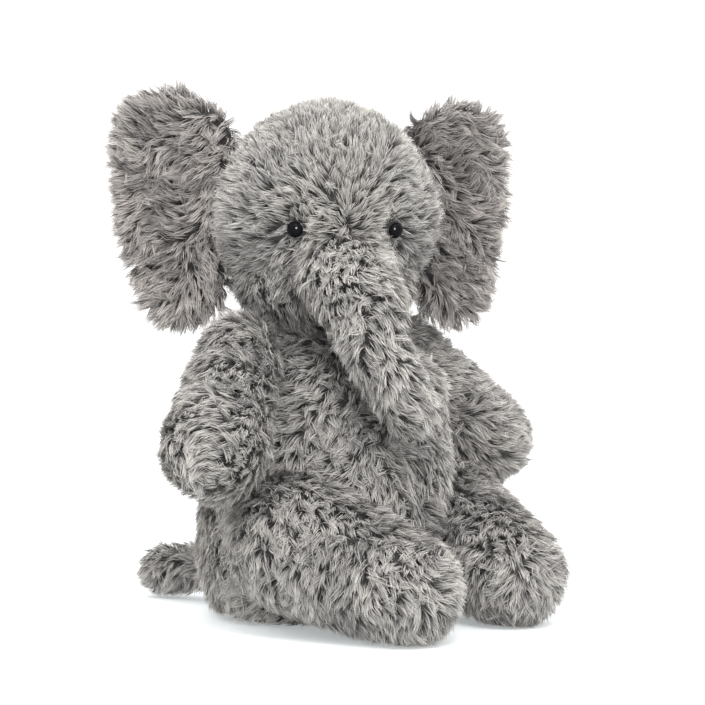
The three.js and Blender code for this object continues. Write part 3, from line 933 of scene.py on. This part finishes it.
def ear_shade(sign):
    """Painted light along the ear's rim and painted shade in its hollow; on the left ear also the head's
    painted shadow behind the cheek.
    """
    root, axes = ear_axes(sign)
    edge = ear_outline()

    def shade(p):
        flat = ((p - root) @ axes.T)[:, [0, 2]]
        hidden = max(sign, 0) * (1 - smooth_step(flat[:, :1], 0.012, 0.034))
        from_edge = np.linalg.norm(flat[:, None] - edge[None], axis=2).min(1, keepdims=True)
        rim = 1 - smooth_step(from_edge, 0.0, 0.012)
        hollow = smooth_step(from_edge, 0.010, 0.026)
        return PAINTED_LIGHT_AND_SHADE["ear's rim"] * rim + PAINTED_LIGHT_AND_SHADE["ear's hollow"] * hollow + PAINTED_LIGHT_AND_SHADE["behind cheek"] * hidden

    return shade


def ear_length(sign):
    """The pile is longer at the ear's bottom."""
    root, _ = ear_axes(sign)
    return lambda p: 0.0112 + 0.0045 * smooth_step(root[2] - p[:, 2:3], 0.040, 0.055)


def leg_shade(side):
    """Painted shade in the ankle's groove and on the thigh's inner side."""
    def shade(p):
        along = ankle_place(p, side)[:, None]
        inner = (1 - smooth_step(np.abs(p[:, :1]), 0.036, 0.056)) * (1 - smooth_step(along, 0.4, 0.7))
        ankle = np.exp(-((along - ANKLE) / ANKLE_SIZE) ** 2)
        return PAINTED_LIGHT_AND_SHADE["ankle"] * ankle + PAINTED_LIGHT_AND_SHADE["inner thigh"] * inner

    return shade


# ---------- plush pieces ----------
def bend(obj, before, after, joint, way, reach):
    """Bakes the piece's place into its mesh."""
    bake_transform(obj)
    return obj


def bend_at_hip(obj, side):
    """Hands a leg's piece to bend, which bakes its place into its mesh."""
    return bend(obj, "torso", f"leg_{side}", HIPS[side], unit(FEET[side] - HIPS[side]), THIGH_BEND)


def finish_piece(obj, body):
    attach(obj, body)
    return obj


def cover(name, surface, chosen, material, grown, body, node):
    """A panel with its pile, on its body, in the place of its node."""
    obj = plush_object(name, surface, chosen, material, grown)
    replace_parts(finish_piece(obj, body), node)


def grow_torso():
    above = TORSO.middles[:, 2] > SEAT_SEAM_Z
    front = above & (TORSO.middles[:, 1] < SIDE_SEAM_Y)
    back = above & ~front
    limbs = [(ARMS[s], 0.0045) for s in SIDES] + [(LEGS[s], 0.002) for s in SIDES] + [(TAIL, 0.002)]
    beside = [(arm, 0.023) for arm in ARMS.values()] + [(leg, 0.010) for leg in LEGS.values()]
    beside += [(TRUNK, 0.032), (TAIL, 0.008)]
    for name, chosen, seed in (("torso_front", front, 11), ("torso_back", back, 23)):
        grown = pile(TORSO, chosen, torso_flow, seed, density=0.95, avoid=limbs, beside=beside,
                     shade=torso_shade)
        cover(f"{name}_panel_plush", TORSO, chosen, GREY, grown, "torso", f"{name}_panel")
    grown = pile(TORSO, ~above, torso_flow, 37, length=0.010, lift=0.35, density=0.6, avoid=limbs)
    cover("seat_panel_plush", TORSO, ~above, GREY, grown, "torso", "seat_panel")


def grow_neck():
    """The plush under the jaw, which hides the ball of filling that the head turns on."""
    open_to_air = ~HEAD.holds(JAW.middles, 0.001) & ~TORSO.holds(JAW.middles, 0.001)
    grown = pile(JAW, open_to_air, jaw_flow, 71, length=0.0100, lift=0.9, wander=0.6,
                 shade=jaw_shade, beside=[(TRUNK, 0.014)])
    cover("neck_plush", JAW, open_to_air, HEAD_PILE_SHADED, grown, "neck", "neck_stuffing")


def grow_head():
    across = (HEAD.middles - HEAD_CENTRE) @ HEAD_X
    for name, chosen, seed in (("head_right", across < 0, 41), ("head_left", across >= 0, 53)):
        growing = chosen & (eye_distance(HEAD.middles)[:, 0] > EYE_RADIUS * 1.05)
        grown = pile(HEAD, growing, head_flow, seed, length=head_length, lift=0.85, wander=0.4,
                     shade=face_shade, avoid=[(TRUNK, 0.0)])
        cover(f"{name}_panel_plush", HEAD, chosen, HEAD_PILE_SHADED, grown, "head", f"{name}_panel")


def grow_trunk():
    line, nearest = on_trunk(TRUNK.middles)
    stops = [*TRUNK_JOINTS, from_head(TRUNK_TIP)]
    marks = [int(np.argmin(np.linalg.norm(line - (stops[i] + stops[i + 1]) / 2, axis=1))) for i in range(2)]
    parts = [
        ("head", "trunk_upper", nearest < marks[0], 61),
        ("trunk_upper", "trunk_middle", (nearest >= marks[0]) & (nearest < marks[1]), 73),
        ("trunk_middle", "trunk_tip", nearest >= marks[1], 85),
    ]
    for i, (before, name, chosen, seed) in enumerate(parts):
        grown = pile(TRUNK, chosen, trunk_flow, seed, length=trunk_length, lift=0.68, wander=0.55,
                     density=1.1, avoid=[(HEAD, 0.0)], shade=trunk_shade)
        obj = plush_object(f"{name}_plush", TRUNK, chosen, GREY, grown)
        bend(obj, before, name, stops[i], unit(stops[i + 1] - stops[i]), TRUNK_BEND)
        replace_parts(obj, f"{name}_skin")


def grow_ears():
    for side, sign in SIDES.items():
        root, axes = ear_axes(sign)
        surface = EARS[side]
        front = ((surface.middles - root) @ axes.T)[:, 1] < EAR_DISH * 0.3
        for name, chosen, seed in (("front", front, 101), ("back", ~front, 127)):
            shade = ear_shade(sign) if name == "front" else None
            grown = pile(surface, chosen, ear_flow(sign), seed + SIDE_SEED[side], length=ear_length(sign),
                         lift=0.70, wander=0.6, avoid=[(HEAD, -0.001)], shade=shade)
            node = f"ear_{side}_{name}_panel"
            cover(f"{node}_plush", surface, chosen, EAR_PILE_SHADED, grown, f"ear_{side}", node)


def grow_arms():
    for side, sign in SIDES.items():
        surface = ARMS[side]
        facing = arm_seam_side(side)
        outer = (surface.middles - SHOULDERS[side]) @ facing > 0
        flow = limb_flow(SHOULDERS[side], PAWS[side], np.array([-sign * 1.0, -0.2, 0.0]), along=0.9, fan=0.8)
        for name, chosen, seed in (("outer", outer, 201), ("inner", ~outer, 223)):
            grown = pile(surface, chosen, flow, seed + SIDE_SEED[side], wander=0.4, avoid=[(TORSO, 0.0)],
                         beside=[(TORSO, 0.017)], shade=arm_shade)
            node = f"arm_{side}_{name}_panel"
            cover(f"{node}_plush", surface, chosen, GREY, grown, f"arm_{side}", node)


def grow_legs():
    for side, sign in SIDES.items():
        surface = LEGS[side]
        sole = sole_depth(surface.middles, side) > 0
        whorl = FEET[side] + 0.045 * SOLE_WHORL
        skin_flow = limb_flow(THIGHS[side], FEET[side], UP, along=0.7, fan=1.0)
        for name, chosen, seed, flow in (
            ("skin", ~sole, 301, skin_flow), ("sole_panel", sole, 323, fan_flow(whorl, 0.2)),
        ):
            grown = pile(surface, chosen, flow, seed + SIDE_SEED[side], wander=0.45, avoid=[(TORSO, 0.0)],
                         beside=[(TORSO, 0.016), (ARMS[side], 0.024)], shade=leg_shade(side))
            obj = plush_object(f"leg_{side}_{name}_plush", surface, chosen, GREY, grown)
            done = bend_at_hip(obj, side) if name == "skin" else finish_piece(obj, f"leg_{side}")
            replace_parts(done, f"leg_{side}_{name}")


def grow_tail():
    flow = limb_flow(TAIL_ROOT, TAIL_TIP, UP, along=1.0, fan=0.5)
    every = np.ones(len(TAIL.tris), bool)
    grown = pile(TAIL, every, flow, 401, length=0.0100, wander=0.6, avoid=[(TORSO, 0.0)],
                 beside=[(TORSO, 0.008)])
    cover("tail_plush", TAIL, every, TAIL_PILE_SHADED, grown, "tail", "tail_skin")


grow_torso()
grow_neck()
grow_head()
grow_trunk()
grow_ears()
grow_arms()
grow_legs()
grow_tail()


# ---------- eyes ----------
EYES = bpy.data.collections.new("eyes")


def grow_eyes():
    """Glossy domes that stand a little proud of the plush."""
    for side, sign in SIDES.items():
        centre, outward = eye_place(sign)
        swing = np.linspace(0, math.pi / 2, 12)
        start = centre + outward * EYE_PROUD
        line = [start - outward * 0.0008, start - outward * 0.0007]
        wide = [0, EYE_RADIUS * 0.92]
        for a in swing:
            line.append(start + outward * EYE_RADIUS * 0.85 * math.sin(a))
            wide.append(EYE_RADIUS * math.cos(a))
        wide[-1] = 0
        obj = mesh_object(f"eye_{side}_dome", *tube(np.array(line), wide, 40))
        dress(obj, EYE_GLOSS)
        EYES.objects.link(obj)
        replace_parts(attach(obj, "head"), f"eye_{side}")


grow_eyes()


# ---------- inner pieces ----------
def inner_piece(node, verts, tris, material, slot, draw_in, lump, voxel=0.003):
    """What lies under the plush: a closed form drawn in from its solid or skin, and lumpy."""
    obj = mesh_object(f"{node}_inside", verts, tris)
    add_modifier(obj, "REMESH", mode="VOXEL", voxel_size=voxel)
    add_modifier(obj, "SMOOTH", iterations=3)
    bake_modifiers(obj)
    points = corners(obj)
    lumps = lump * waves(points, 0.012, 5)
    move_corners(obj, points - vertex_normals(obj) * (draw_in + lumps))
    dress(obj, material)
    return obj


def node_shape(name):
    """The corners and triangles of a piece of the frame."""
    data = frame["nodes"][name].data
    data.calc_loop_triangles()
    return corners(frame["nodes"][name]), [tuple(t.vertices) for t in data.loop_triangles]


def fill_skins():
    """The filling of the pieces whose skins differ from their solids: it follows the skin."""
    for side in SIDES:
        for name, surface, draw_in in (
            (f"arm_{side}_stuffing", ARMS[side], 0.0030), (f"leg_{side}_stuffing", LEGS[side], 0.0030),
            (f"ear_{side}_padding", EARS[side], 0.0024),
        ):
            obj = inner_piece(
                name, surface.points, surface.tris, FIBRE, "fibre_fill", draw_in, FIBRE_LUMPS, 0.002)
            in_leg = name.startswith("leg")
            done = bend_at_hip(obj, side) if in_leg else finish_piece(obj, name.rsplit("_", 1)[0])
            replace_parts(done, name)


def fill_solids():
    """The filling of the other pieces, and the pouch, as large as their solids."""
    for body in ("torso", "head", "trunk_upper", "trunk_middle", "trunk_tip", "tail"):
        node = f"{body}_stuffing"
        obj = inner_piece(node, *node_shape(node), FIBRE, "fibre_fill", 0.0016, FIBRE_LUMPS)
        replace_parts(finish_piece(obj, body), node)
    pouch = inner_piece(
        "seat_pouch", *node_shape("seat_pouch"), POUCH_CLOTH, "pouch_cloth", 0.0002, 0.0, 0.0015)
    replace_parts(finish_piece(pouch, "torso"), "seat_pouch")


def pour_pellets():
    """Round plastic pellets that fill the pouch, each a small ball in its own cell of a loose stack."""
    verts, tris = node_shape("seat_pellets")
    tree = BVHTree.FromPolygons(verts.tolist(), tris)
    low, high = verts.min(0), verts.max(0)
    steps = [np.arange(low[i], high[i], PELLET_PITCH) for i in range(3)]
    grid = np.stack(np.meshgrid(*steps, indexing="ij"), axis=-1).reshape(-1, 3)
    rng = np.random.default_rng(PELLET_SEED)
    grid = grid + rng.uniform(-1, 1, grid.shape) * (PELLET_PITCH / 2 - PELLET_RADIUS)
    places = []
    for spot in grid:
        hit, normal, _, distance = tree.find_nearest(Vector(spot))
        if (Vector(spot) - hit).dot(normal) < 0 and distance > PELLET_RADIUS:
            places.append(spot)
    form = bmesh.new()
    bmesh.ops.create_icosphere(form, subdivisions=1, radius=PELLET_RADIUS)
    one = np.array([v.co for v in form.verts])
    faces = np.array([[v.index for v in f.verts] for f in form.faces])
    form.free()
    places = np.array(places)
    every = (places[:, None] + one[None]).reshape(-1, 3)
    links = (np.arange(len(places))[:, None, None] * len(one) + faces[None]).reshape(-1, 3)
    obj = mesh_object("seat_pellets_loose", every, links)
    dress(obj, PELLETS)
    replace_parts(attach(obj, "torso"), "seat_pellets")


def dress_washers():
    """The lock washers stay as they are in the frame, in their own plastic."""
    for side in SIDES:
        washer = frame["nodes"][f"eye_washer_{side}"]
        washer.data.materials.clear()
        washer.data.materials.append(WASHER_PLASTIC)


fill_skins()
fill_solids()
pour_pellets()
dress_washers()


# ---------- floor, light and camera ----------
def make_stage():
    """A plain pale floor that glows a little, painted light that lightens the shadows on it, under a sky that
    is brightest straight above.
    """
    r = FLOOR_REACH
    floor = mesh_object("floor", [(-r, -r, 0), (r, -r, 0), (r, r, 0), (-r, r, 0)], [(0, 1, 2, 3)])
    material, _, shader = new_material("studio_floor", 0.9)
    shader.inputs["Base Color"].default_value = (0.585, 0.60, 0.605, 1)
    # The floor's glow is painted light: it lightens the shadows cast on it.
    shader.inputs["Emission Color"].default_value = (0.95, 1, 1, 1)
    shader.inputs["Emission Strength"].default_value = 0.34
    floor.data.materials.append(material)
    world = bpy.data.worlds.new("studio")
    world.use_nodes = True
    tree = world.node_tree
    place = tree.nodes.new("ShaderNodeTexCoord")
    split = tree.nodes.new("ShaderNodeSeparateXYZ")
    sky = ramp(tree, [(0.05, (SKY_LOW, SKY_LOW, SKY_LOW)), (0.8, (1, 1, 1))])
    tree.links.new(place.outputs["Generated"], split.inputs[0])
    tree.links.new(split.outputs["Z"], sky.inputs["Fac"])
    tree.links.new(sky.outputs["Color"], tree.nodes["Background"].inputs["Color"])
    tree.nodes["Background"].inputs["Strength"].default_value = SKY_HIGH
    bpy.context.scene.world = world
    bpy.context.scene.view_settings.view_transform = "Standard"


def aim(obj, place, target):
    """Puts a lamp or the camera in its place, and turns it to its target."""
    obj.location = place
    way = Vector(target) - Vector(place)
    obj.rotation_euler = way.to_track_quat("-Z", "Y").to_euler()
    bpy.context.scene.collection.objects.link(obj)


def add_light(name, place, size, power, lit=None):
    """A square lamp, which lights everything or only one collection."""
    light = bpy.data.lights.new(name, "AREA")
    light.size = size
    light.energy = power
    obj = bpy.data.objects.new(name, light)
    aim(obj, place, LIT_POINT)
    if lit:
        obj.light_linking.receiver_collection = lit


def make_camera():
    camera = bpy.data.objects.new("camera", bpy.data.cameras.new("camera"))
    camera.data.lens = CAMERA_LENS
    camera.data.sensor_width = SENSOR_WIDTH
    aim(camera, CAMERA_AT, CAMERA_TARGET)
    bpy.context.scene.camera = camera


make_stage()
add_light("key", **KEY_LIGHT)
add_light("catch", **CATCH_LIGHT, lit=EYES)
make_camera()
